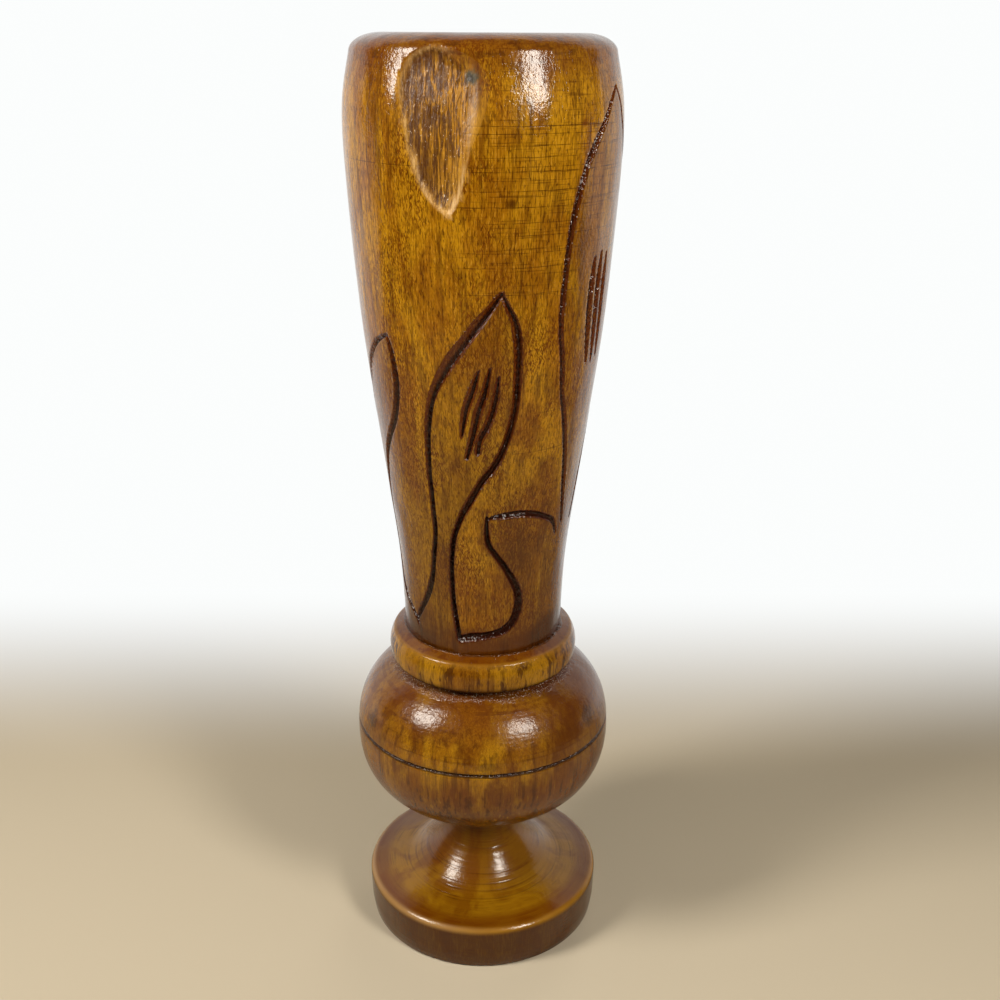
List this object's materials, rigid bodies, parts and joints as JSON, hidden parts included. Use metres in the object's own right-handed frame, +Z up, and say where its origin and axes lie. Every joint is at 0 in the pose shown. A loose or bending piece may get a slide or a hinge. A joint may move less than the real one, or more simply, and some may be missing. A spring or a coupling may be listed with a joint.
{
  "type": "wooden bud vase",
  "caption": "Tall turned wooden bud vase: hollow body with incised leaf outlines, collar ring, round bulb with a turned line, and a slim neck flaring into a disc foot.",
  "frame": {"origin": "centre of the foot's flat underside, on the surface the vase stands on", "axes": "+Z up along the turning axis; -Y is the pictured front with the middle leaf; +X is to the right of that view"},
  "size_m": [0.0666, 0.0666, 0.23],
  "materials": {
    "foot_wood": "gloss lacquer over golden-brown turned hardwood",
    "bulb_wood": "gloss lacquer over golden-brown turned hardwood",
    "collar_wood": "gloss lacquer over golden-brown turned hardwood",
    "body_wood": "gloss lacquer over honey-brown carved hardwood"
  },
  "bodies": {
    "root": {"foot": "foot_wood", "bulb": "bulb_wood", "collar_ring": "collar_wood", "body": "body_wood"}
  },
  "joints": []
}
